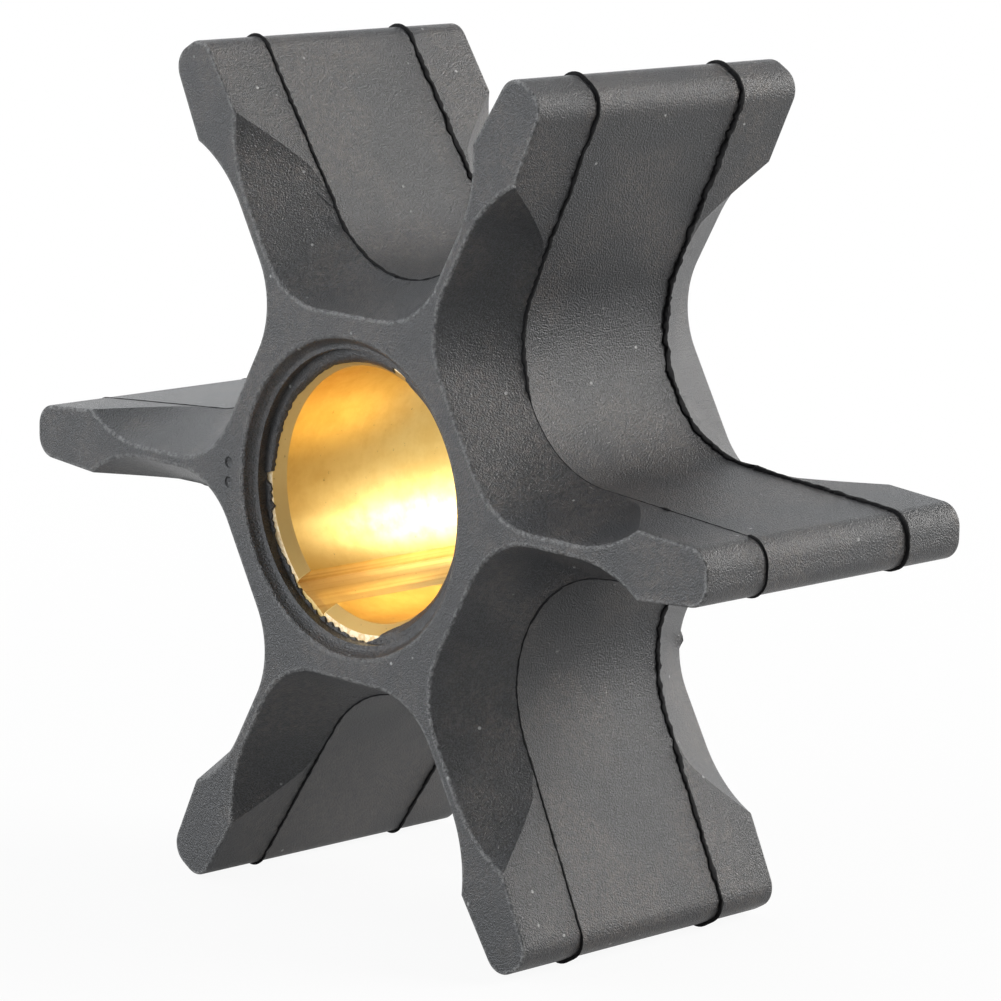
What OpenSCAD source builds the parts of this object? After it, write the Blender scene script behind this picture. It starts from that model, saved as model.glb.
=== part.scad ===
// Flexible vane impeller for a raw-water pump: one rubber moulding with six vanes, bonded to a keyed
// brass bush. Millimetres. The bore axis is Y with the front end at -Y, and the part stands on two vanes.

/* [Overall] */
// Diameter over the vane tips
tip_diameter = 72; // [68:0.5:84]
// Length of the moulding along the bore
body_width = 25.5; // [22:0.5:40]
// Small break on every edge of the two end faces
edge_break = 0.15; // [0.05:0.05:0.3]

/* [Vanes] */
// Number of vanes
vane_count = 6; // [6:1:6]
// Radius where each bulb is widest on the end face
shoulder_radius = 29.5; // [28:0.1:30.5]
// Thickness of a vane at the shoulder
bulb_thickness = 4.9; // [4.2:0.1:5.6]
// Thickness of a vane close to its tip
tip_thickness = 4.15; // [3.6:0.05:4.4]
// Corner radius of the vane tip
tip_corner = 1.65; // [0.8:0.05:1.7]
// Thickness of the neck behind each bulb on the end face
neck_thickness = 0.9; // [0.6:0.05:2]

/* [Pockets] */
// Radius of the pocket floor on the end face
face_floor_radius = 13.4; // [13:0.1:14.5]
// Corner radius of the pocket floor on the end face
face_corner = 6.5; // [5:0.1:7]
// Radius where the neck starts to flare into the bulb
flare_start = 23.3; // [22:0.1:24.5]
// Radius of the pocket floor between the two seams
mid_floor_radius = 15.4; // [14.8:0.1:16]
// Distance of each seam from the middle of the width
seam_offset = 7.1; // [5:0.1:8]
// Radius on the vane flank where the sloping crease meets the seam
crease_radius = 22.8; // [21:0.1:25]

/* [Seams] */
// Thickness of the raised seam
seam_thickness = 0.5; // [0.3:0.05:0.8]
// Height of the rear seam above the surface
rear_seam_height = 0.3; // [0.1:0.02:0.5]
// Height of the front seam where it stands heavy
front_seam_height = 0.28; // [0.1:0.02:0.5]
// Height of the front seam where it is only a hairline
hairline_height = 0.07; // [0.04:0.01:0.1]

/* [Hub recess] */
// Radius of the recess on the end face
recess_radius = 11.85; // [11.6:0.05:12.4]
// Radius of the small step half way down the recess
recess_step_radius = 11.1; // [10.9:0.05:11.4]
// Radius of the recess floor
recess_floor_radius = 10.75; // [10.6:0.05:10.9]
// Depth of the small step
recess_step_depth = 0.8; // [0.5:0.05:1.1]
// Depth of the recess down to the film of rubber over the bush
recess_depth = 1.5; // [1.3:0.05:2.2]
// Thickness of the rubber film that laps over each end of the bush
film_thickness = 0.2; // [0.1:0.05:0.5]
// Inner radius of the film where it is whole
film_radius = 9.95; // [9.7:0.05:10.05]

/* [Brass bush] */
// Bore diameter
bore_diameter = 18.8; // [17:0.1:19.2]
// Outer diameter of the bush
bush_diameter = 22.6; // [22:0.1:23.4]
// Lead-in chamfer at each mouth of the bore
mouth_chamfer = 0.75; // [0.3:0.05:0.9]
// Width of the key slot
key_width = 3.5; // [2:0.1:5]
// Depth of the key slot beyond the bore
key_depth = 0.95; // [0.5:0.05:1.2]
// Position of the key slot round the bore
key_angle = 236; // [0:1:359]

/* [Hidden] */
$fn = 54;

half_width = body_width / 2;
tip_radius = tip_diameter / 2;
bore_radius = bore_diameter / 2;
bush_half = half_width - recess_depth - film_thickness;
// Socket for the bush: its flats lie round the bush, so that none of them cuts into the brass
socket_diameter = bush_diameter / cos(180 / $fn);
half_pitch = 180 / vane_count;

// Flank of a vane: half its thickness at a distance r from the axis
flank_slope = (bulb_thickness - tip_thickness) / 2 / (tip_radius - tip_corner - shoulder_radius);
flank_root = bulb_thickness / 2 + flank_slope * shoulder_radius;
flank_length = sqrt(1 + flank_slope * flank_slope);
flank_lean = atan(flank_slope);
function flank_half(r) = flank_root - flank_slope * r;

// A point beside a vane, given along the vane and out from its middle plane, seen from the pocket
function beside_vane(r, h) = [
    r * cos(half_pitch) + h * sin(half_pitch),
    r * sin(half_pitch) - h * cos(half_pitch)
];

// Round bottom of the pocket between the seams, tangent to both flanks
mid_share = (sin(half_pitch) + flank_slope * cos(half_pitch)) / flank_length;
mid_center = (mid_floor_radius - flank_root / flank_length) / (1 - mid_share);
mid_round = mid_center - mid_floor_radius;

// Round corners and flares of the pocket on the end face
neck_half = neck_thickness / 2;
corner_x = face_floor_radius + face_corner;
corner_y = (corner_x * sin(half_pitch) - neck_half - face_corner) / cos(half_pitch);
flare_run = shoulder_radius - flare_start;
flare_rise = bulb_thickness / 2 - neck_half;
flare_round = (flare_run * flare_run + flare_rise * flare_rise) / (2 * flare_rise);
flare_at = beside_vane(flare_start, neck_half + flare_round);

// Round that leaves the flank at the crease, on the seam's level
crease_round = 4.5;
crease_at = beside_vane(
    crease_radius + crease_round * sin(flank_lean),
    flank_half(crease_radius) + crease_round * cos(flank_lean)
);

// Both outlines as sets of circles, each with its centre and radius
face_circles = [
    [corner_x, corner_y, face_corner],
    [corner_x, -corner_y, face_corner],
    [flare_at[0], flare_at[1], flare_round],
    [flare_at[0], -flare_at[1], flare_round]
];
seam_circles = [
    [mid_center, 0, mid_round],
    [crease_at[0], crease_at[1], crease_round],
    [crease_at[0], -crease_at[1], crease_round]
];

// Point of the outline round a set of circles whose outward normal has the angle a
function reach(c, a) = c[0] * cos(a) + c[1] * sin(a) + c[2];
function outline_point(circles, a) =
    let (far = max([for (c = circles) reach(c, a)]))
    [for (c = circles) if (reach(c, a) > far - 0.000001) [c[0] + c[2] * cos(a), c[1] + c[2] * sin(a)]][0];

// Levels of the pocket cutter: height, share of the way from the face outline to the seam outline, growth
over_face = 0.4;
past_seam = 0.6;
pocket_depth = half_width - seam_offset;
pocket_levels = [
    [half_width + over_face, 0, edge_break + over_face],
    [half_width - edge_break, edge_break / pocket_depth, 0],
    [seam_offset - past_seam, 1 + past_seam / pocket_depth, 0]
];

// Directions in which the pocket outline is sampled: coarse on its open side, fine along its wall
open_normals = [-45, 0, 45];
wall_normals_from = 66;
wall_normals_step = 6;
normal_angles = concat(
    open_normals,
    [for (a = [wall_normals_from:wall_normals_step:360 - wall_normals_from]) a]
);

function pocket_ring(level) = [
    for (a = normal_angles)
        let (from = outline_point(face_circles, a))
        let (to = outline_point(seam_circles, a))
        let (p = from + level[1] * (to - from) + level[2] * [cos(a), sin(a)])
        [p[0], p[1], level[0]]
];

// Solid through a stack of rings with equal counts, top ring first
module loft(rings) {
    count = len(rings[0]);
    walls = [
        for (k = [0:len(rings) - 2])
            for (i = [0:count - 1])
                let (j = (i + 1) % count)
                [k * count + i, k * count + j, (k + 1) * count + j, (k + 1) * count + i]
    ];
    top = [for (i = [count - 1:-1:0]) i];
    bottom = [for (i = [0:count - 1]) (len(rings) - 1) * count + i];
    polyhedron(
        points = [for (ring = rings) for (p = ring) p],
        faces = concat(walls, [top, bottom]),
        convexity = 6
    );
}

// Deep end of one pocket, open to the front face: the sloping walls, then the broken edge of the mouth
module pocket_end() {
    hull() loft([pocket_ring(pocket_levels[1]), pocket_ring(pocket_levels[2])]);
    hull() loft([pocket_ring(pocket_levels[0]), pocket_ring(pocket_levels[1])]);
}

module pocket_ends() {
    for (i = [0:vane_count - 1]) {
        rotate([0, 0, half_pitch + 2 * half_pitch * i]) {
            pocket_end();
            mirror([0, 0, 1]) pocket_end();
        }
    }
}

// Centre of the round on each tip corner, along the vane and out from its middle plane
corner_lift = flank_root - tip_corner * flank_length;
corner_reach = tip_radius - tip_corner;
corner_along = (
    corner_lift * flank_slope
    + sqrt(
        pow(corner_lift * flank_slope, 2)
        - pow(flank_length, 2) * (pow(corner_lift, 2) - pow(corner_reach, 2))
    )
) / pow(flank_length, 2);
corner_out = corner_lift - flank_slope * corner_along;
corner_turn = atan2(corner_out, corner_along);
corner_at = beside_vane(corner_along, corner_out);

// Straight pieces in the tip, in the round on its corner and in the floor of the pocket
tip_steps = 2;
corner_steps = 4;
floor_steps = 12;

// Outline from the middle of one vane tip to the middle of the next, grown outwards at the tips and the floor
function pocket_outline(tip_grow, floor_grow) = concat(
    [
        for (k = [0:tip_steps - 1])
            let (a = -half_pitch + corner_turn * k / tip_steps)
            (tip_radius + tip_grow) * [cos(a), sin(a)]
    ],
    [
        for (k = [0:corner_steps])
            let (a = -half_pitch + corner_turn + (90 - flank_lean - corner_turn) * k / corner_steps)
            [corner_at[0], -corner_at[1]] + (tip_corner + tip_grow) * [cos(a), sin(a)]
    ],
    [
        for (k = [0:floor_steps])
            let (a = 180 + (90 - half_pitch - flank_lean) * (1 - 2 * k / floor_steps))
            [mid_center, 0] + (mid_round - floor_grow) * [cos(a), sin(a)]
    ],
    [
        for (k = [corner_steps:-1:0])
            let (a = half_pitch - corner_turn - (90 - flank_lean - corner_turn) * k / corner_steps)
            corner_at + (tip_corner + tip_grow) * [cos(a), sin(a)]
    ],
    [
        for (k = [tip_steps - 1:-1:1])
            let (a = half_pitch - corner_turn * k / tip_steps)
            (tip_radius + tip_grow) * [cos(a), sin(a)]
    ]
);

function turned(p, a) = [p[0] * cos(a) - p[1] * sin(a), p[0] * sin(a) + p[1] * cos(a)];

// Whole outline, with one growth for all tips and one for the floor of each pocket
function vane_outline(tip_grow, floor_grows) = [
    for (i = [0:vane_count - 1])
        for (p = pocket_outline(tip_grow, floor_grows[i % len(floor_grows)]))
            turned(p, half_pitch * (2 * i + 1))
];

function outline_ring(height, grow) = [
    for (p = vane_outline(grow, [grow])) [p[0], p[1], height]
];

module vane_blank() {
    loft([
        outline_ring(half_width, -edge_break),
        outline_ring(half_width - edge_break, 0),
        outline_ring(edge_break - half_width, 0),
        outline_ring(-half_width, -edge_break)
    ]);
}

// Raised seams where the three parts of the mould met; the front one fades to a hairline in two pockets
front_floor_heights = [
    hairline_height,
    hairline_height,
    front_seam_height,
    front_seam_height,
    front_seam_height,
    front_seam_height
];

module seam(height, tip_grow, floor_grows) {
    translate([0, 0, height - seam_thickness / 2]) {
        linear_extrude(seam_thickness) {
            polygon(vane_outline(tip_grow, floor_grows));
        }
    }
}

// Stepped recess at each end of the hub, with a soft edge on the face
recess_lip = 0.35;
lip_steps = 2;

module hub_recess() {
    rotate_extrude() {
        polygon(concat(
            [
                [0, half_width - recess_depth],
                [recess_floor_radius, half_width - recess_depth],
                [recess_step_radius - recess_lip, half_width - recess_step_depth],
                [recess_step_radius, half_width - recess_step_depth]
            ],
            [
                for (k = [0:lip_steps])
                    let (a = 180 - 90 * k / lip_steps)
                    [
                        recess_radius + recess_lip * cos(a),
                        half_width - recess_lip + recess_lip * sin(a)
                    ]
            ],
            [
                [recess_radius, half_width + over_face],
                [0, half_width + over_face]
            ]
        ));
    }
}

// Ragged inner edge of the film on the front end: it creeps over the mouth on one side and is torn elsewhere
film_creep = 0.22;
film_ragged = 0.04;
film_rim = 0.1;
film_bare_radius = recess_floor_radius - film_rim;
film_tears = [
    [64, 73, film_radius + 0.2],
    [178, 182, film_bare_radius],
    [195, 211, film_bare_radius],
    [212, 230, film_bare_radius - 0.2],
    [232, 250, film_bare_radius - 0.15],
    [251, 281, film_bare_radius]
];

function film_whole(a) =
    film_radius - film_creep * (1 + cos(a)) + film_ragged * (sin(13 * a) + sin(29 * a) * cos(7 * a));
function film_edge(a) = max(concat(
    [film_whole(a)],
    [for (t = film_tears) if (a >= t[0] && a <= t[1]) t[2] + film_ragged * sin(37 * a)]
));

module front_film_hole() {
    translate([0, 0, bush_half - over_face]) {
        linear_extrude(film_thickness + 2 * over_face) {
            polygon([for (a = [0:4:356]) film_edge(a) * [cos(a), sin(a)]]);
        }
    }
}

module back_film_hole() {
    translate([0, 0, -bush_half - film_thickness - over_face]) {
        cylinder(h = film_thickness + 2 * over_face, r = film_radius);
    }
}

// Two shallow dimples on the front face beside the recess
dimple_radius = 0.45;
dimple_depth = 0.15;
dimple_spacing = 1.5;
dimple_place = recess_radius + 1.3;

module face_dimples() {
    for (side = [-1, 1]) {
        translate([-dimple_place, side * dimple_spacing / 2, half_width - dimple_depth]) {
            cylinder(h = dimple_depth + over_face, r = dimple_radius);
        }
    }
}

module vane_body() {
    color("#3c3e41") {
        rotate([90, 0, 0]) {
            difference() {
                union() {
                    difference() {
                        vane_blank();
                        pocket_ends();
                    }
                    seam(seam_offset, front_seam_height, front_floor_heights);
                    seam(-seam_offset, rear_seam_height, [rear_seam_height]);
                }
                cylinder(h = 2 * bush_half, d = socket_diameter, center = true);
                front_film_hole();
                back_film_hole();
                hub_recess();
                mirror([0, 0, 1]) hub_recess();
                face_dimples();
            }
        }
    }
}

module brass_bush() {
    color("#d9a441") {
        rotate([90, 0, 0]) {
            difference() {
                cylinder(h = 2 * bush_half, d = bush_diameter, center = true);
                cylinder(h = 2 * bush_half + 2 * over_face, r = bore_radius, center = true);
                bush_mouth();
                mirror([0, 0, 1]) bush_mouth();
                rotate([0, 0, key_angle]) {
                    translate([0, -key_width / 2, -bush_half - over_face]) {
                        cube([bore_radius + key_depth, key_width, 2 * bush_half + 2 * over_face]);
                    }
                }
            }
        }
    }
}

module bush_mouth() {
    translate([0, 0, bush_half - mouth_chamfer]) {
        cylinder(
            h = mouth_chamfer + over_face,
            r1 = bore_radius,
            r2 = bore_radius + mouth_chamfer + over_face
        );
    }
}

vane_body();
brass_bush();
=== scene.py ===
import math

import bmesh
import bpy
from mathutils import Matrix, Vector, noise


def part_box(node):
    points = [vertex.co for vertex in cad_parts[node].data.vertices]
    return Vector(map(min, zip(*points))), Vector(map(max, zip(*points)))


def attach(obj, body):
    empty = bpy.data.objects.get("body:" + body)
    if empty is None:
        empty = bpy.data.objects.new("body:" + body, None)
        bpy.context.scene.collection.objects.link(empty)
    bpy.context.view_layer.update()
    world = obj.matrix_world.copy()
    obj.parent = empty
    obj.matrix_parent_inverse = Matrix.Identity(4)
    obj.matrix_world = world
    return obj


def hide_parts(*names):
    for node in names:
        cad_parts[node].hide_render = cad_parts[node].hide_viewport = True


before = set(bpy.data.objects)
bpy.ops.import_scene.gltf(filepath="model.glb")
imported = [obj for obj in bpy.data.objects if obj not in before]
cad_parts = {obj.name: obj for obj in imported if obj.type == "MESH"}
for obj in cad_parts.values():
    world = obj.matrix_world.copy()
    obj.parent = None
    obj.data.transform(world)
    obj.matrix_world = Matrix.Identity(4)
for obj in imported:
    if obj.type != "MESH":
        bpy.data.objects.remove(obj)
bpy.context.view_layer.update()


# Rubber moulding: the hub, the six flared vanes and the thin skin that laps over both ends of the bush,
# moulded in one go from black rubber with a fine satin grain. The mould left two torn lines of flash round
# the whole outline. The brass bush is bonded into it while the rubber cures.
mm = 0.001
body_low, body_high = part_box("vane_body")
seam_crest = 0.3 * mm
end_gap = 0.002 * mm
half_width = body_high.y - end_gap
tip_radius = body_high.x - seam_crest
edge_round = 0.17 * mm
shoulder_radius = 29.5 * mm
bulb_thickness = 4.9 * mm
tip_thickness = 4.15 * mm
tip_corner = 1.65 * mm
neck_thickness = 0.9 * mm
face_floor_radius = 13.4 * mm
face_corner = 6.5 * mm
flare_start = 23.3 * mm
mid_floor_radius = 15.4 * mm
seam_offset = 7.1 * mm
crease_radius = 22.8 * mm
crease_round = 4.5 * mm
vane_count = 6
pitch = 2 * math.pi / vane_count
half_pitch = pitch / 2

flank_slope = (bulb_thickness - tip_thickness) / 2 / (tip_radius - tip_corner - shoulder_radius)
flank_root = bulb_thickness / 2 + flank_slope * shoulder_radius
flank_length = math.hypot(1, flank_slope)
flank_lean = math.atan(flank_slope)
flank_normal = math.pi / 2 + half_pitch + flank_lean
pocket_depth = half_width - seam_offset


def flank_half(along):
    """Half the thickness of a vane at a distance from the axis."""
    return flank_root - flank_slope * along


def beside_vane(along, out):
    """A point beside a vane in the frame of the pocket, whose x runs out from the bore."""
    cosine = math.cos(half_pitch)
    sine = math.sin(half_pitch)
    return Vector((along * cosine + out * sine, along * sine - out * cosine))


# Arcs of the pocket, each a centre and a radius: at the end face a floor corner and the flare behind the
# bulb, and between the seams a round floor and a crease against the flank
mid_share = (math.sin(half_pitch) + flank_slope * math.cos(half_pitch)) / flank_length
mid_center = (mid_floor_radius - flank_root / flank_length) / (1 - mid_share)
corner_x = face_floor_radius + face_corner
corner_y = (corner_x * math.sin(half_pitch) - neck_thickness / 2 - face_corner) / math.cos(half_pitch)
flare_rise = (bulb_thickness - neck_thickness) / 2
flare_round = ((shoulder_radius - flare_start) ** 2 + flare_rise ** 2) / (2 * flare_rise)
floor_corner = (Vector((corner_x, corner_y)), face_corner)
flare = (beside_vane(flare_start, neck_thickness / 2 + flare_round), flare_round)
mid_floor = (Vector((mid_center, 0)), mid_center - mid_floor_radius)
crease = (
    beside_vane(
        crease_radius + crease_round * math.sin(flank_lean),
        flank_half(crease_radius) + crease_round * math.cos(flank_lean),
    ),
    crease_round,
)

# Centre of the round corner between the flank and the tip of a vane, and where that round ends on the tip
corner_lift = flank_root - tip_corner * flank_length
corner_reach = tip_radius - tip_corner
corner_along = (
    corner_lift * flank_slope
    + math.sqrt(
        (corner_lift * flank_slope) ** 2
        - flank_length ** 2 * (corner_lift ** 2 - corner_reach ** 2)
    )
) / flank_length ** 2
corner_out = corner_lift - flank_slope * corner_along
corner_turn = math.atan2(corner_out, corner_along)

pocket_steps = 60
flank_steps = 44
corner_steps = 9
tip_steps = 7
arc_samples = 120
halvings = 40
lowest_leave = math.radians(60)


def pocket_point(angle, share, growth, near_floor):
    """Point of the pocket wall whose outward normal has this angle, at a share of the way to the seam."""
    normal = Vector((math.cos(angle), math.sin(angle)))
    center, radius = max((floor_corner, flare), key=lambda arc: arc[0].dot(normal) + arc[1])
    start = center + radius * normal
    center, radius = mid_floor if near_floor else crease
    end = center + radius * normal
    return start.lerp(end, share) + growth * normal


def clear_of_flank(point, growth):
    """How far a point stands out from the flank of the vane, negative inside the rubber."""
    along = point.x * math.cos(half_pitch) + point.y * math.sin(half_pitch)
    out = point.x * math.sin(half_pitch) - point.y * math.cos(half_pitch)
    return out - flank_half(along) + growth


def spread(points, steps):
    """The same line with evenly spaced points, without its last one."""
    travel = [0.0]
    for a, b in zip(points, points[1:]):
        travel.append(travel[-1] + (b - a).length)
    even = []
    at = 0
    for k in range(steps):
        want = travel[-1] * k / steps
        while at < len(points) - 2 and travel[at + 1] < want:
            at += 1
        stretch = travel[at + 1] - travel[at]
        even.append(points[at].lerp(points[at + 1], (want - travel[at]) / stretch if stretch else 0))
    return even


def turns_between(first, last):
    return [first + (last - first) * k / arc_samples for k in range(arc_samples + 1)]


def half_outline(share, growth):
    """From the middle of the pocket floor along the flank to the middle of the vane tip."""
    leave_low = lowest_leave
    leave = flank_normal
    if share < 1:
        for _ in range(halvings):
            middle = (leave_low + leave) / 2
            if clear_of_flank(pocket_point(middle, share, growth, False), growth) < 0:
                leave = middle
            else:
                leave_low = middle
    wall = [pocket_point(a, share, growth, True) for a in turns_between(math.pi, flank_normal)]
    wall = [Vector((wall[0].x, 0))] + wall
    wall += [pocket_point(a, share, growth, False) for a in turns_between(flank_normal, leave)]
    turn = math.pi / 2 - flank_lean
    round_radius = tip_corner - growth
    corner = [
        beside_vane(corner_along + round_radius * math.cos(a), corner_out + round_radius * math.sin(a))
        for a in (turn + (corner_turn - turn) * k / corner_steps for k in range(corner_steps))
    ]
    tip = [
        beside_vane((tip_radius - growth) * math.cos(a), (tip_radius - growth) * math.sin(a))
        for a in (corner_turn * (1 - k / tip_steps) for k in range(tip_steps + 1))
    ]
    return spread(wall, pocket_steps) + spread([wall[-1], corner[0]], flank_steps) + corner + tip


half_count = pocket_steps + flank_steps + corner_steps + tip_steps
ring_count = 2 * vane_count * half_count


def whole_outline(share, growth):
    """The outline all the way round, seen from the front, starting at the vane on the right."""
    half = half_outline(share, growth)
    pocket = [Vector((p.x, -p.y)) for p in reversed(half[1:])] + half[:-1]
    return [
        Matrix.Rotation(half_pitch + pitch * turn, 2) @ p
        for turn in range(vane_count)
        for p in pocket
    ]


# Flash is heaviest along the back line and thinner over the vane tips. The front line fades to a hairline
# on the upper flank of the vane on the right, with one leftover scrap. The shares say how heavy it is in
# each half pocket, anticlockwise from that vane. The bead is its section, across and up.
seam_half_thickness = 0.25 * mm
hairline_half_thickness = 0.03 * mm
hairline_end = math.radians(36)
hairline_fade = math.radians(4)
scrap_place = Vector((26.6, 2.7)) * mm
scrap_size = 0.5 * mm
scrap_share = 0.9
front_shares = (0.62, 0.62, 0.5, 0.5, 0.1, 0.1, 0.3, 0.3, 0.35, 0.35, 0.2, 0.38)
back_shares = (0.9, 1.0, 0.7, 0.75, 0.1, 0.1, 0.5, 0.5, 0.55, 0.55, 0.75, 0.75)
bead = ((1.0, 0.0), (0.86, 0.75), (0.45, 1.0), (-0.45, 0.95), (-0.86, 0.7), (-1.0, 0.0))
side_vane = 0.9 * tip_radius
tip_thinner = 0.4
tip_crest = 0.9
left_tip_crest = 0.35
right_tip_thinner = 0.82
right_tip_crest = 0.6
low_crest = 0.10
crest_gain = 0.62
crest_ragged = 0.6
crest_scale = 1100
highest_crest = 0.93
thinnest = 0.25
side_coarse_scale = 1500
side_fine_scale = 3400
side_fine_share = 0.9
wander_size = 0.16 * mm
wander_scale = 420
crest_noise_level = 0.03
side_noise_level = 0.05
side_noise_step = 0.01


def flash_share(point, front):
    """How heavy the torn flash is at a point of the outline, from 0 to 1."""
    angle = math.atan2(point.y, point.x) % (2 * math.pi)
    shares = front_shares if front else back_shares
    share = shares[int(angle // half_pitch) % len(shares)]
    if front and angle < hairline_end and point.length < tip_radius - tip_corner:
        near_end = min(1, max(0, (angle - hairline_end) / hairline_fade + 1))
        scrap = max(0, 1 - (point - scrap_place).length / scrap_size)
        share = max(share * near_end, scrap_share * scrap)
    return share


def flash_at_tip(point, front):
    """How much thinner the flash is over this vane tip, and how high, as a share of the full crest."""
    if front and point.x > side_vane:
        return right_tip_thinner, right_tip_crest
    if point.x < -side_vane:
        return tip_thinner, left_tip_crest
    return tip_thinner, tip_crest


def flash_line(front):
    """Rings across one flash line, with ragged sides and crest."""
    base = whole_outline(1, 0)
    side = 1 if front else -1
    normals = []
    for before, after in zip(base[-1:] + base[:-1], base[1:] + base[:1]):
        run = after - before
        normals.append(Vector((run.y, -run.x)).normalized())
    rings = []
    for across, rise in bead:
        side_level = side_noise_level * side + side_noise_step * math.copysign(1, across)
        ring = []
        for p, normal in zip(base, normals):
            share = flash_share(p, front)
            thinner, crest_there = flash_at_tip(p, front)
            at = Vector((p.x, p.y, crest_noise_level * side))
            beside = Vector((p.x, p.y, side_level))
            over_tip = min(1, max(0, (p.length - tip_radius + tip_corner) / tip_corner))
            half = hairline_half_thickness + (seam_half_thickness - hairline_half_thickness) * share
            half *= 1 - thinner * over_tip
            coarse = noise.noise(beside * side_coarse_scale)
            fine = noise.noise(beside * side_fine_scale)
            half *= max(thinnest, 1 + coarse + side_fine_share * fine)
            wander = wander_size * noise.noise(at * wander_scale) * share
            height = seam_crest * (low_crest + crest_gain * share)
            height *= 1 + crest_ragged * noise.noise(at * crest_scale)
            height += (seam_crest * crest_there - height) * over_tip
            q = p + normal * min(height, seam_crest * highest_crest) * rise
            ring.append((q.x, q.y, side * seam_offset + wander + across * half))
        rings.append((ring, 0.0, 1.0))
    return rings


# Each ring goes with how pale its edge is, from wear and from a painted highlight on the rounded edge, and
# with 1 for flash, from the front face to the first flash line
round_steps = 4
wall_steps = 9
wear_and_highlight_width = 0.16 * mm


def level_ring(z, share, growth):
    return [(p.x, p.y, z) for p in whole_outline(share, growth)]


def turned_over(ring):
    return [(x, y, -z) for x, y, z in ring]


front_rings = [(level_ring(half_width, 0, edge_round + wear_and_highlight_width), 0.0, 0.0)]
for k in range(round_steps + 1):
    turn = math.pi / 2 * (1 - k / round_steps)
    drop = edge_round * (1 - math.sin(turn))
    growth = edge_round * (1 - math.cos(turn))
    # The rounding rings carry the pale edge colour: worn rubber and a painted highlight along the rounded
    # edge.
    worn_and_highlit = 1.0 if k < round_steps else 0.0
    front_rings.append((level_ring(half_width - drop, drop / pocket_depth, growth), worn_and_highlit, 0.0))
wall_top = half_width - edge_round
wall_bottom = seam_offset + seam_half_thickness
for k in range(1, wall_steps):
    z = wall_top + (wall_bottom - wall_top) * k / wall_steps
    front_rings.append((level_ring(z, (half_width - z) / pocket_depth, 0), 0.0, 0.0))

# A small torn scrap stands out from the back rim of the pocket below the vane on the right. Its shape says
# how far each ring from the back face on is pulled out.
rim_scrap_place = Vector((9.05, -12.4)) * mm
rim_scrap_half = 0.5 * mm
rim_scrap_depth = 0.6 * mm
rim_scrap_reach = Vector((0.38, -0.03)) * mm
rim_scrap_shape = (0.0, 0.5, 0.9, 1.0, 1.0, 0.8, 0.2)
back_rings = []
for number, (ring, worn_and_highlit, flash) in enumerate(front_rings):
    torn_out = rim_scrap_shape[number] if number < len(rim_scrap_shape) else 0
    back_ring = []
    for x, y, z in ring:
        near = max(0, 1 - (Vector((x, y)) - rim_scrap_place).length / rim_scrap_half)
        moved = Vector((x, y)) + rim_scrap_reach * min(1, 2 * near) * torn_out
        back_ring.append((moved.x, moved.y, -z))
    back_rings.append((back_ring, worn_and_highlit, flash))

outline_rings = list(front_rings)
outline_rings += flash_line(True)
outline_rings.append((level_ring(0, 1, 0), 0.0, 0.0))
outline_rings += flash_line(False)
outline_rings += reversed(back_rings)

body_mesh = bmesh.new()
body_place = body_mesh.verts.layers.int.new("place")
wear_and_highlight_layer = body_mesh.verts.layers.float.new("edge_wear_and_highlight")
flash_layer = body_mesh.verts.layers.float.new("flash")
body_layers = (body_place, wear_and_highlight_layer, flash_layer)


def draw_rings(mesh, layers, rings):
    """A tube through rings of equal counts: a circle, moved onto the first and extruded to the next ones."""
    place, first_layer, second_layer = layers
    made = bmesh.ops.create_circle(mesh, cap_ends=False, segments=len(rings[0][0]), radius=tip_radius)
    verts = made["verts"]
    edges = list({e for v in verts for e in v.link_edges})
    loops = []
    for k, v in enumerate(verts):
        v[place] = k
    for number, (ring, first, second) in enumerate(rings):
        if number:
            grown = bmesh.ops.extrude_edge_only(mesh, edges=edges)["geom"]
            verts = [g for g in grown if isinstance(g, bmesh.types.BMVert)]
            new_verts = set(verts)
            edges = [g for g in grown if isinstance(g, bmesh.types.BMEdge) and new_verts.issuperset(g.verts)]
        for v in verts:
            v.co = ring[v[place]]
            v[first_layer] = first
            v[second_layer] = second
        loops.append((list(verts), list(edges)))
    return loops


outline_loops = draw_rings(body_mesh, body_layers, outline_rings)

# Stepped recess at each end of the hub, the skin over the end of the bush and the socket that holds the bush
_, bush_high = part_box("brass_bush")
bush_half = bush_high.y
bush_radius = bush_high.x
bore_radius = 9.4 * mm
mouth_chamfer = 0.75 * mm
mouth_radius = bore_radius + mouth_chamfer
recess_radius = 11.85 * mm
recess_lip = 0.35 * mm
lip_steps = 4
# The recess lip carries less of the pale edge colour, wear and painted highlight together.
lip_wear_and_highlight = 0.35
recess_step_radius = 11.1 * mm
recess_floor_radius = 10.75 * mm
recess_step_depth = 0.8 * mm
recess_depth = 1.5 * mm
skin_radius = 9.95 * mm
skin_thickness = half_width - recess_depth - bush_half
hub_steps = 540

# Inner edge of the front skin, in degrees seen from the front and millimetres: it creeps into the mouth on
# the right, and it is torn back in places
skin_edges = (
    (0, 9.35), (30, 9.4), (58, 9.4), (63, 9.5), (64.5, 10.4), (72, 10.45), (73.5, 9.65), (100, 9.68),
    (112, 9.77), (134, 9.8), (144, 9.95), (170, 9.97), (178, 10.0), (179.5, 10.7), (181, 10.65),
    (184, 10.15), (193, 10.2), (197, 10.68), (207, 10.72), (211, 10.45), (213, 10.6), (228, 10.42),
    (240, 10.6), (252, 10.5), (256, 10.66), (273, 10.68), (277, 10.4), (279, 10.5), (282, 10.05),
    (285, 9.8), (295, 9.6), (305, 9.5), (330, 9.4), (351, 9.35), (352, 9.95), (356, 10.0), (357, 9.35),
    (360, 9.35),
)
torn_from = 9.9
torn_span = 0.4
cut_ragged = 0.05
torn_ragged = 0.12
torn_fine = 0.22
ragged_scale = 9
ragged_level = 0.3
fine_scale = 34
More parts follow.
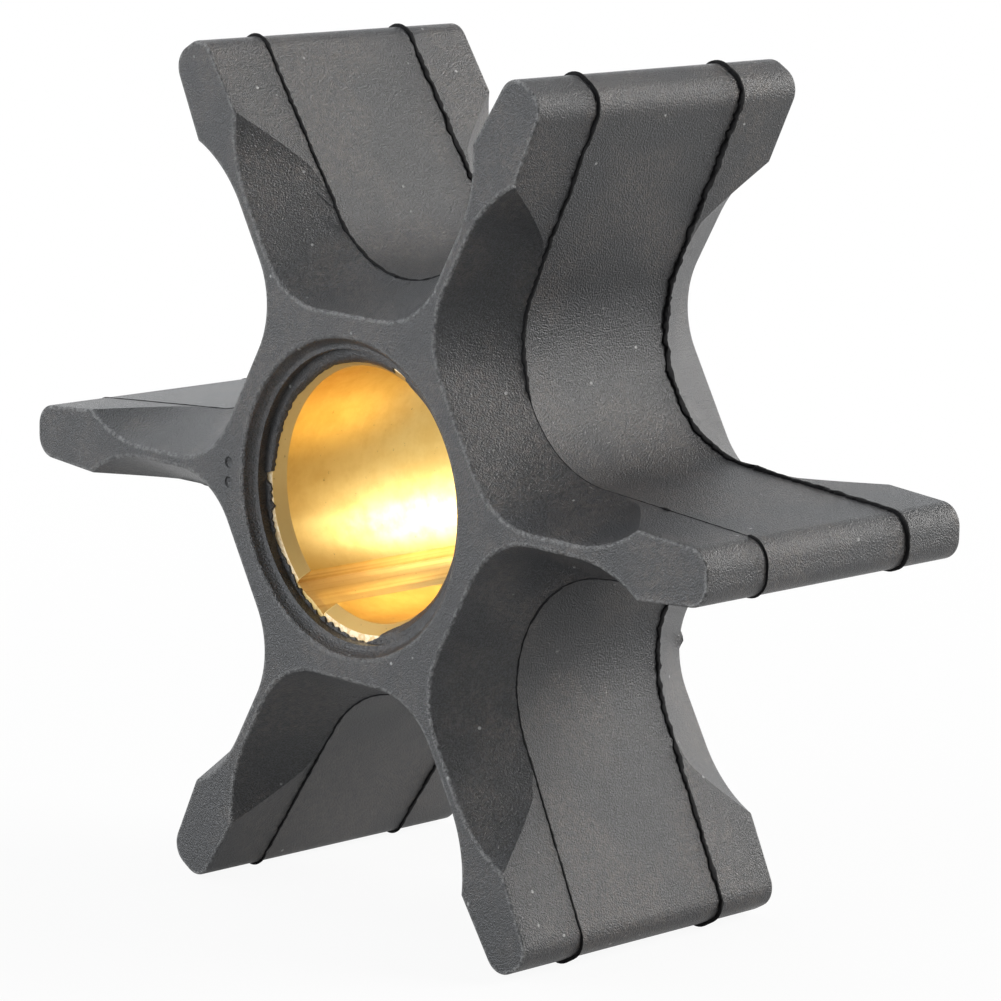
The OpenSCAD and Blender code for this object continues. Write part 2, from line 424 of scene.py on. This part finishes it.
fine_level = 0.6

# Section of the skin's edge: millimetres back from the edge and a share of the thickness up
skin_section = ((0.6, 1.0), (0.3, 1.0), (0.1, 0.92), (0.02, 0.6), (0.0, 0.1), (0.02, 0.0))
skin_edge_gap = 0.02 * mm
skin_ring_gap = 0.016 * mm
skin_ring_spread = 0.01


def skin_edge(angle):
    """Inner radius of the skin on the front end of the bush at an angle round the bore."""
    degrees = math.degrees(angle) % 360
    for (a, low), (b, high) in zip(skin_edges, skin_edges[1:]):
        if a <= degrees <= b:
            radius = low + (high - low) * (degrees - a) / (b - a)
            break
    torn = min(1, max(0, (radius - torn_from) / torn_span))
    ragged = noise.noise(Vector((math.cos(angle), math.sin(angle), ragged_level)) * ragged_scale)
    fine = noise.noise(Vector((math.cos(angle), math.sin(angle), fine_level)) * fine_scale)
    radius += (cut_ragged + torn_ragged * torn) * ragged + (cut_ragged + torn_fine * torn) * fine
    return min(radius * mm, recess_floor_radius - skin_edge_gap)


def skin_under(radius):
    """Height of the underside of the skin: on the end of the bush, then down its mouth."""
    return bush_half - max(0, mouth_radius - radius)


def circle_ring(radius, z):
    turn = 2 * math.pi / hub_steps
    return [(radius * math.cos(turn * k), radius * math.sin(turn * k), z) for k in range(hub_steps)]


def skin_ring(back, lift, edge):
    """Ring of the skin at a distance back from its inner edge and a share of its thickness up."""
    widest = recess_floor_radius - skin_ring_gap + skin_ring_spread * back
    ring = []
    for k in range(hub_steps):
        angle = 2 * math.pi * k / hub_steps
        radius = min(edge(angle) + back, widest)
        z = skin_under(radius) + lift * skin_thickness
        ring.append((radius * math.cos(angle), radius * math.sin(angle), z))
    return ring


def hub_end(edge):
    """Rings from the end face down the recess and over the skin to the socket, for the front end."""
    rings = [(circle_ring(recess_radius + wear_and_highlight_width, half_width), 0.0, 0.0)]
    for k in range(lip_steps + 1):
        turn = math.pi / 2 * (1 + k / lip_steps)
        radius = recess_radius + recess_lip * math.cos(turn)
        z = half_width - recess_lip + recess_lip * math.sin(turn)
        rings.append((circle_ring(radius, z), lip_wear_and_highlight if k < lip_steps - 1 else 0.0, 0.0))
    step_top = half_width - recess_step_depth
    recess_floor = half_width - recess_depth
    step_corners = (
        (recess_step_radius, 0.08, step_top, 0.09),
        (recess_step_radius, 0.0, step_top, 0.02),
        (recess_step_radius, -0.09, step_top, 0.0),
        (recess_floor_radius, 0.1, step_top, 0.0),
        (recess_floor_radius, 0.02, step_top, -0.03),
        (recess_floor_radius, 0.0, step_top, -0.1),
        (recess_floor_radius, 0.0, recess_floor, 0.1),
        (recess_floor_radius, -0.005, recess_floor, 0.02),
    )
    for radius, outward, level, upward in step_corners:
        rings.append((circle_ring(radius + outward * mm, level + upward * mm), 0.0, 0.0))
    for back, lift in skin_section:
        rings.append((skin_ring(back * mm, lift, edge), 0.0, 0.0))
    rings.append((circle_ring(bush_radius, bush_half), 0.0, 0.0))
    return rings


front_end = hub_end(skin_edge)
whole_skin_end = hub_end(lambda angle: skin_radius)
back_end = [(turned_over(ring), worn_and_highlit, flash) for ring, worn_and_highlit, flash in reversed(whole_skin_end)]
hub_loops = draw_rings(body_mesh, body_layers, front_end + back_end)

# Two shallow dimples on the front face, left by the pins that push the moulding out. Their section is in
# millimetres: how much narrower, and how deep.
dimple_radius = 0.45 * mm
dimple_spacing = 1.5 * mm
dimple_place = recess_radius + 1.3 * mm
dimple_section = ((0, 0), (0.04, 0.03), (0.08, 0.12), (0.14, 0.15))
dimple_steps = 32


def dimple_ring(side, radius, z):
    turns = [2 * math.pi * k / dimple_steps for k in range(dimple_steps)]
    middle = side * dimple_spacing / 2
    return [(radius * math.cos(a) - dimple_place, middle + radius * math.sin(a), z) for a in turns]


dimple_edges = []
for side in (-1, 1):
    rings = [
        (dimple_ring(side, dimple_radius - shrink * mm, half_width - drop * mm), 0.0, 0.0)
        for shrink, drop in dimple_section
    ]
    loops = draw_rings(body_mesh, body_layers, rings)
    bmesh.ops.contextual_create(body_mesh, geom=loops[-1][1])
    dimple_edges += loops[0][1]

front_rim = outline_loops[0][1] + hub_loops[0][1] + dimple_edges
back_rim = outline_loops[-1][1] + hub_loops[-1][1]
bmesh.ops.triangle_fill(body_mesh, edges=front_rim, use_beauty=True, normal=(0, 0, 1))
bmesh.ops.triangle_fill(body_mesh, edges=back_rim, use_beauty=True, normal=(0, 0, -1))
bmesh.ops.recalc_face_normals(body_mesh, faces=body_mesh.faces)

# Where the surface stays sharp: steep turns, the creases down the flanks, the rims of the flat faces and
# both sides of each flash line
sharp_turn = math.radians(34)
crease_turn = math.radians(6)
wear_and_highlight_off_tips = 0.7
crease_places = set()
for k in range(2 * vane_count):
    along_half = pocket_steps if k % 2 else half_count - pocket_steps
    crease_places.add((k * half_count + along_half) % ring_count)
for edge in body_mesh.edges:
    if len(edge.link_faces) != 2:
        continue
    first, second = edge.verts
    along_crease = first[body_place] == second[body_place] and first[body_place] in crease_places
    edge.smooth = edge.calc_face_angle(0) < (crease_turn if along_crease else sharp_turn)
flat_rims = front_rim + back_rim
for loops in (outline_loops, hub_loops):
    flat_rims += loops[1][1] + loops[-2][1]
for number, (ring, worn_and_highlit, flash) in enumerate(outline_rings[1:-1], 1):
    beside_flash = outline_rings[number - 1][2] + outline_rings[number + 1][2]
    if flash == 1 and beside_flash == 1:
        flat_rims += outline_loops[number][1]
for edge in flat_rims:
    edge.smooth = False

# Edges wear most at the vane tips, and the painted highlight that goes with the wear is weaker off the tips
# too. The scrap on the back rim is torn rubber, not worn skin.
for verts, edges in outline_loops:
    for vert in verts:
        if vert.co.xy.length <= tip_radius - tip_corner:
            vert[wear_and_highlight_layer] *= wear_and_highlight_off_tips
        on_back_rim = vert.co.z < rim_scrap_depth - half_width
        if on_back_rim and (vert.co.xy - rim_scrap_place).length < rim_scrap_half:
            vert[wear_and_highlight_layer] = 0
            vert[flash_layer] = 1
for face in body_mesh.faces:
    face.smooth = True
    face.material_index = 1 if all(vert[flash_layer] == 1 for vert in face.verts) else 0
body_mesh.verts.layers.int.remove(body_place)
body_mesh.verts.layers.float.remove(flash_layer)
upright = Matrix.Rotation(math.pi / 2, 3, "X")
bmesh.ops.rotate(body_mesh, verts=body_mesh.verts, cent=(0, 0, 0), matrix=upright)
rubber_mesh = bpy.data.meshes.new("rubber_moulding")
body_mesh.to_mesh(rubber_mesh)
body_mesh.free()
rubber_moulding = bpy.data.objects.new("rubber_moulding", rubber_mesh)
bpy.context.scene.collection.objects.link(rubber_moulding)


class Number:
    """A number on a shader socket, so that maths on it is written as it reads."""

    def __init__(self, finish, socket):
        self.finish = finish
        self.socket = socket

    def maths(self, operation, first, second):
        return self.finish.add("ShaderNodeMath", {"operation": operation}, {0: first, 1: second})

    def __add__(self, other):
        return self.maths("ADD", self, other)

    def __radd__(self, other):
        return self.maths("ADD", other, self)

    def __sub__(self, other):
        return self.maths("SUBTRACT", self, other)

    def __rsub__(self, other):
        return self.maths("SUBTRACT", other, self)

    def __mul__(self, other):
        return self.maths("MULTIPLY", self, other)

    def __rmul__(self, other):
        return self.maths("MULTIPLY", other, self)


class Finish:
    """The shader nodes of one finish of this object, or of the room it stands in."""

    def __init__(self, owner):
        self.owner = owner
        owner.use_nodes = True
        self.tree = owner.node_tree
        self.tree.nodes.clear()

    def add(self, kind, settings, sockets, output=0):
        """Adds a node: its settings first, then the values or links of its sockets."""
        node = self.tree.nodes.new(kind)
        for setting, value in settings.items():
            setattr(node, setting, value)
        for name, value in sockets.items():
            if isinstance(value, Number):
                self.tree.links.new(value.socket, node.inputs[name])
            else:
                node.inputs[name].default_value = value
        return Number(self, node.outputs[output]) if len(node.outputs) else None

    def place(self):
        return self.add("ShaderNodeTexCoord", {}, {}, "Object")

    def stretched(self, vector, scale):
        return self.add("ShaderNodeVectorMath", {"operation": "MULTIPLY"}, {0: vector, 1: scale})

    def distance(self, vector):
        """How far a place is from the middle of the object."""
        return self.add("ShaderNodeVectorMath", {"operation": "LENGTH"}, {0: vector}, "Value")

    def cloud(self, vector, scale, detail, rough):
        """Soft noise with this many features to a metre."""
        return self.add(
            "ShaderNodeTexNoise", {},
            {"Vector": vector, "Scale": scale, "Detail": detail, "Roughness": rough},
        )

    def ramp(self, value, low, high, bottom=0.0, top=1.0):
        """Value from low to high, mapped to bottom to top and held there."""
        return self.add(
            "ShaderNodeMapRange", {"interpolation_type": "SMOOTHSTEP"},
            {"Value": value, "From Min": low, "From Max": high, "To Min": bottom, "To Max": top},
        )

    def mix(self, factor, first, second):
        """Colour between two colours."""
        return self.add("ShaderNodeMix", {"data_type": "RGBA"}, {0: factor, 6: first, 7: second}, 2)

    def painted(self, name):
        """A value that the mesh carries at each of its points."""
        return self.add("ShaderNodeAttribute", {"attribute_name": name}, {}, "Fac")

    def bump(self, height, distance, strength):
        return self.add("ShaderNodeBump", {}, {"Height": height, "Distance": distance, "Strength": strength})

    def surface(self, **sockets):
        """Closes the finish with its surface, whose sockets are given in small letters."""
        named = {name.replace("_", " ").title(): value for name, value in sockets.items()}
        if "Specular" in named:
            named["Specular IOR Level"] = named.pop("Specular")
        shader = self.add("ShaderNodeBsdfPrincipled", {}, named)
        self.add("ShaderNodeOutputMaterial", {}, {"Surface": shader})
        return self.owner


rubber_dark = (0.002, 0.0024, 0.003, 1)
rubber_light = (0.036, 0.038, 0.044, 1)
rubber_bloom = (0.074, 0.062, 0.055, 1)
rubber_dust = (0.42, 0.42, 0.42, 1)
# Pale edge colour: worn rubber and a painted highlight along the rounded edges.
rubber_worn_and_highlight = (0.24, 0.24, 0.24, 1)
grain_height = 0.12 * mm
# Flash colours darker than the moulded skin: painted shade for the shadow inside the torn ridge.
flash_shade_dark = (0.005, 0.005, 0.006, 1)
flash_shade_light = (0.014, 0.014, 0.015, 1)
flash_height = 0.08 * mm


def black_rubber():
    """Satin rubber: fine grain with glints, a thin bloom, light dust and paler edges, from wear and from a
    painted highlight.
    """
    finish = Finish(bpy.data.materials.new("black_rubber"))
    at = finish.place()
    askew = finish.add(
        "ShaderNodeVectorRotate", {"rotation_type": "EULER_XYZ"},
        {"Vector": at, "Rotation": (0.6, 0.5, 0.4)},
    )
    grain = finish.cloud(askew, 7800, 2, 0.6)
    coarse = finish.cloud(askew, 3200, 2, 0.6)
    patches = finish.cloud(at, 120, 3, 0.6)
    bloom = finish.cloud(askew, 2400, 3, 0.8)
    colour = finish.mix(finish.ramp(grain * 0.85 + coarse * 0.15, 0.40, 0.64), rubber_dark, rubber_light)
    warm = finish.ramp(bloom, 0.36, 0.72) * finish.ramp(patches, 0.42, 0.60) * 0.8
    colour = finish.mix(warm, colour, rubber_bloom)
    dust = finish.add("ShaderNodeTexVoronoi", {}, {"Vector": at, "Scale": 620.0})
    sparse = finish.cloud(at, 430, 1, 0.5)
    speck = finish.ramp(dust, 0.10, 0.05) * finish.ramp(sparse, 0.50, 0.58)
    colour = finish.mix(speck * 0.7, colour, rubber_dust)
    # Paler edges, patchy: wear and a painted highlight where the rounded edges catch the lamps.
    rubbed_and_highlight = finish.painted("edge_wear_and_highlight") * finish.ramp(coarse, 0.35, 0.65) * 0.6
    colour = finish.mix(rubbed_and_highlight, colour, rubber_worn_and_highlight)
    rough = finish.ramp(grain, 0.35, 0.65, 0.31, 0.44)
    normal = finish.bump(grain * 1.05 + coarse * 0.12, grain_height, 1.0)
    return finish.surface(base_color=colour, roughness=rough, normal=normal, specular=0.8)


def torn_flash_painted_shade():
    """Torn rubber along the parting lines: rough and dull, and darker than the moulded skin as painted shade
    for the shadow inside the torn ridge.
    """
    finish = Finish(bpy.data.materials.new("torn_flash_painted_shade"))
    tears = finish.cloud(finish.place(), 3600, 3, 0.7)
    colour = finish.mix(tears, flash_shade_dark, flash_shade_light)
    rough = finish.ramp(tears, 0.3, 0.7, 0.7, 0.9)
    normal = finish.bump(tears, flash_height, 0.7)
    return finish.surface(base_color=colour, roughness=rough, normal=normal, specular=0.15)


# The second material goes on the flash faces and carries their painted shade.
rubber_mesh.materials.append(black_rubber())
rubber_mesh.materials.append(torn_flash_painted_shade())
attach(rubber_moulding, "root")
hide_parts("vane_body")


# Brass bush: turned from bar, bored and broached with one key slot, and chamfered at both mouths. It is
# bonded into the hub, and the slot takes the key that drives the impeller.
key_width = 3.5 * mm
key_depth = 0.95 * mm
key_angle = math.radians(236)
key_step = 0.1 * mm
chamfer_rim = 0.03 * mm
slot_margin = 0.02 * mm
slot_side_margin = 0.001 * mm
sharp_brass = math.radians(25)
arc_steps = 460
wall_rows = 3
floor_rows = 8


def bore_ring(radius, z):
    """Inner outline of the bush with its key slot, starting on one side of the slot."""
    edge_turn = math.asin(key_width / 2 / radius)
    edge_along = radius * math.cos(edge_turn)
    floor_along = bore_radius + key_depth
    points = []
    for k in range(arc_steps + 1):
        angle = edge_turn + (2 * math.pi - 2 * edge_turn) * k / arc_steps
        points.append(Vector((radius * math.cos(angle), radius * math.sin(angle))))
    for k in range(1, wall_rows + 1):
        points.append(Vector((edge_along + (floor_along - edge_along) * k / wall_rows, -key_width / 2)))
    for k in range(1, floor_rows):
        lift = 0 if k < floor_rows / 2 else key_step
        points.append(Vector((floor_along - lift, -key_width / 2 + key_width * k / floor_rows)))
    for k in range(wall_rows, 0, -1):
        points.append(Vector((edge_along + (floor_along - edge_along) * k / wall_rows, key_width / 2)))
    turn = Matrix.Rotation(key_angle, 2)
    return [(*(turn @ p), z) for p in points]


bush_bmesh = bmesh.new()
bush_place = bush_bmesh.verts.layers.int.new("place")
matt_layer = bush_bmesh.verts.layers.float.new("matt")
slot_layer = bush_bmesh.verts.layers.float.new("key_slot")
bush_layers = (bush_place, matt_layer, slot_layer)
chamfer_end = bush_half - mouth_chamfer
bore_rings = [
    (bore_ring(mouth_radius, bush_half), 1.0, 0.0),
    (bore_ring(bore_radius, chamfer_end), 1.0, 0.0),
    (bore_ring(bore_radius, chamfer_end - chamfer_rim), 0.0, 0.0),
    (bore_ring(bore_radius, 0), 0.0, 0.0),
    (bore_ring(bore_radius, chamfer_rim - chamfer_end), 0.0, 0.0),
    (bore_ring(bore_radius, -chamfer_end), 1.0, 0.0),
    (bore_ring(mouth_radius, -bush_half), 1.0, 0.0),
]
shell_rings = [(circle_ring(bush_radius, z), 1.0, 0.0) for z in (bush_half, -bush_half)]
bore_loops = draw_rings(bush_bmesh, bush_layers, bore_rings)
shell_loops = draw_rings(bush_bmesh, bush_layers, shell_rings)
for number, outward in ((0, 1), (-1, -1)):
    end_edges = bore_loops[number][1] + shell_loops[number][1]
    bmesh.ops.triangle_fill(bush_bmesh, edges=end_edges, use_beauty=True, normal=(0, 0, outward))
for vert in bush_bmesh.verts:
    turned = Matrix.Rotation(-key_angle, 2) @ vert.co.xy
    inside = turned.x > 0 and abs(turned.y) < key_width / 2 + slot_side_margin
    vert[slot_layer] = 1.0 if inside and vert.co.xy.length > bore_radius + slot_margin else 0.0
bmesh.ops.recalc_face_normals(bush_bmesh, faces=bush_bmesh.faces)
for edge in bush_bmesh.edges:
    edge.smooth = edge.calc_face_angle(0) < sharp_brass
for face in bush_bmesh.faces:
    face.smooth = True
bush_bmesh.verts.layers.int.remove(bush_place)
bmesh.ops.rotate(bush_bmesh, verts=bush_bmesh.verts, cent=(0, 0, 0), matrix=upright)
bush_mesh = bpy.data.meshes.new("brass_sleeve")
bush_bmesh.to_mesh(bush_mesh)
bush_bmesh.free()
brass_sleeve = bpy.data.objects.new("brass_sleeve", bush_mesh)
bpy.context.scene.collection.objects.link(brass_sleeve)

brass_bright = (0.82, 0.59, 0.20, 1)
brass_tarnished = (0.745, 0.505, 0.148, 1)
brass_broached = (0.93, 0.74, 0.40, 1)
brass_tool_line = (0.62, 0.38, 0.12, 1)
brass_chamfer = (0.60, 0.39, 0.14, 1)
brass_end_pale = (1.0, 0.86, 0.62, 1)
brass_end_dull = (0.82, 0.60, 0.32, 1)
brass_dirt = (0.16, 0.09, 0.03, 1)
end_blend = 0.01 * mm
mark_height = 0.014 * mm
round_the_bore = (60, 9000, 60)
along_the_slot = (3000, 30, 3000)


def bored_brass():
    """Bored brass: bright and slightly uneven in the bore, dull and pale where it is only cut off."""
    finish = Finish(bpy.data.materials.new("bored_brass"))
    at = finish.place()
    matt = finish.painted("matt")
    slot = finish.painted("key_slot")
    tarnish = finish.cloud(at, 160, 4, 0.6)
    marks = finish.cloud(finish.stretched(at, round_the_bore), 1.0, 2, 0.6)
    pits = finish.cloud(at, 2600, 2, 0.6)
    lines = finish.cloud(finish.stretched(at, along_the_slot), 1.0, 2, 0.6)
    cloudy = finish.cloud(at, 700, 4, 0.7)
    uneven = finish.ramp(tarnish * 0.6 + cloudy * 0.4, 0.38, 0.62)
    colour = finish.mix(uneven, brass_bright, brass_tarnished)
    colour = finish.mix(slot * 0.5, colour, brass_broached)
    colour = finish.mix(slot * finish.ramp(lines, 0.45, 0.70) * 0.6, colour, brass_tool_line)
    from_axis = finish.distance(finish.stretched(at, (1, 0, 1)))
    end_face = finish.ramp(from_axis, mouth_radius - end_blend, mouth_radius + end_blend)
    colour = finish.mix(matt * (1 - slot) * (1 - end_face) * 0.8, colour, brass_chamfer)
    torn = finish.mix(finish.ramp(pits, 0.40, 0.62), brass_end_pale, brass_end_dull)
    colour = finish.mix(end_face * matt * (1 - slot), colour, torn)
    colour = finish.mix(finish.ramp(pits, 0.70, 0.78) * 0.45, colour, brass_dirt)
    rough = finish.ramp(cloudy, 0.3, 0.7, 0.36, 0.43) + matt * 0.15
    normal = finish.bump(marks * 0.4 * (1 - slot) + lines * slot + pits * matt * 1.5, mark_height, 0.5)
    return finish.surface(base_color=colour, metallic=0.8, roughness=rough, normal=normal)


bush_mesh.materials.append(bored_brass())
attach(brass_sleeve, "root")
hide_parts("brass_bush")


# Pale floor, wide enough for every view, on which two vanes stand
floor_size = 6.0
floor_grey = (0.60, 0.60, 0.60, 1)
white = (1, 1, 1, 1)
shadow_from = 0.05
shadow_to = 0.20
glow_by_object = 0.93
floor_in_gloss = 0.35
floor_bmesh = bmesh.new()
bmesh.ops.create_grid(floor_bmesh, x_segments=1, y_segments=1, size=floor_size / 2)
bmesh.ops.translate(floor_bmesh, verts=floor_bmesh.verts, vec=(0, 0, body_low.z))
floor_mesh = bpy.data.meshes.new("floor")
floor_bmesh.to_mesh(floor_mesh)
floor_bmesh.free()
floor = bpy.data.objects.new("floor", floor_mesh)
bpy.context.scene.collection.objects.link(floor)


def pale_floor():
    """White floor that keeps a soft shadow near the object and shows as white to the camera and in gloss."""
    finish = Finish(bpy.data.materials.new("pale_floor"))
    camera_ray = finish.add("ShaderNodeLightPath", {}, {}, "Is Camera Ray")
    glossy_ray = finish.add("ShaderNodeLightPath", {}, {}, "Is Glossy Ray")
    diffuse = finish.add("ShaderNodeBsdfDiffuse", {}, {"Color": floor_grey})
    glow = finish.add("ShaderNodeEmission", {}, {"Color": white, "Strength": 1.0})
    seen = finish.ramp(finish.distance(finish.place()), shadow_from, shadow_to, glow_by_object, 1.0)
    glowing = camera_ray * seen + glossy_ray * floor_in_gloss
    shader = finish.add("ShaderNodeMixShader", {}, {0: glowing, 1: diffuse, 2: glow})
    finish.add("ShaderNodeOutputMaterial", {}, {"Surface": shader})
    return finish.owner


floor_mesh.materials.append(pale_floor())


# Soft studio light: a dim white room that shows as white behind the object, and six lamps. From the right
# and behind come the main lamp, a low panel for the tips and a lamp for the back rims, and from the left a
# large lamp in front, one high up and a panel behind.
room_strength = 0.06
room_in_gloss = 0.2


def studio_room():
    """A dim room that the camera sees as white and that gloss sees as a little brighter than it is."""
    room = Finish(bpy.data.worlds.new("studio"))
    room_light = room.add("ShaderNodeBackground", {}, {"Color": white, "Strength": room_strength})
    room_seen = room.add("ShaderNodeBackground", {}, {"Color": white, "Strength": 1.0})
    camera_ray = room.add("ShaderNodeLightPath", {}, {}, "Is Camera Ray")
    glossy_ray = room.add("ShaderNodeLightPath", {}, {}, "Is Glossy Ray")
    seen_share = glossy_ray * room_in_gloss + camera_ray
    shader = room.add("ShaderNodeMixShader", {}, {0: seen_share, 1: room_light, 2: room_seen})
    room.add("ShaderNodeOutputWorld", {}, {"Surface": shader})
    return room.owner


bpy.context.scene.world = studio_room()

lamp_distance = 1.0
warm_white = (1.0, 0.985, 0.96)
cool_white = (0.955, 0.98, 1.0)
lamps = (
    ("side_lamp", (0.585, 0.62, 0.53), 0.45, 0.45, 11.6, warm_white),
    ("low_panel", (0.74, 0.66, 0.13), 0.6, 0.2, 1.2, warm_white),
    ("rim_lamp", (0.0, 0.98, 0.22), 0.5, 0.3, 2.1, warm_white),
    ("front_lamp", (-0.50, -0.82, 0.28), 0.8, 0.8, 11.5, cool_white),
    ("high_lamp", (-0.65, 0.10, 0.75), 0.8, 0.8, 5.7, cool_white),
    ("back_panel", (-0.71, 0.68, 0.20), 1.0, 0.4, 1.4, cool_white),
)
for name, direction, width, height, power, colour in lamps:
    light = bpy.data.lights.new(name, "AREA")
    light.shape = "RECTANGLE"
    light.size = width
    light.size_y = height
    light.energy = power
    light.color = colour
    lamp = bpy.data.objects.new(name, light)
    toward = Vector(direction).normalized()
    lamp.location = toward * lamp_distance
    lamp.rotation_euler = toward.to_track_quat("Z", "Y").to_euler()
    lamp.visible_camera = False
    bpy.context.scene.collection.objects.link(lamp)


# Camera at the angle of the photograph
camera_place = Vector((237.04, -223.38, 62.66)) * mm
camera_aim = Vector((1.493, 1.114, -1.582)) * mm
camera_roll = math.radians(0.954)
camera_lens = 161.713
film_width = 36
camera_data = bpy.data.cameras.new("camera")
camera_data.lens = camera_lens
camera_data.sensor_width = film_width
camera_data.clip_start = 0.01
camera = bpy.data.objects.new("camera", camera_data)
look = (camera_place - camera_aim).to_track_quat("Z", "Y")
camera.location = camera_place
camera.rotation_euler = (look.to_matrix() @ Matrix.Rotation(camera_roll, 3, "Z")).to_euler()
bpy.context.scene.collection.objects.link(camera)
bpy.context.scene.camera = camera
bpy.context.scene.view_settings.view_transform = "Standard"
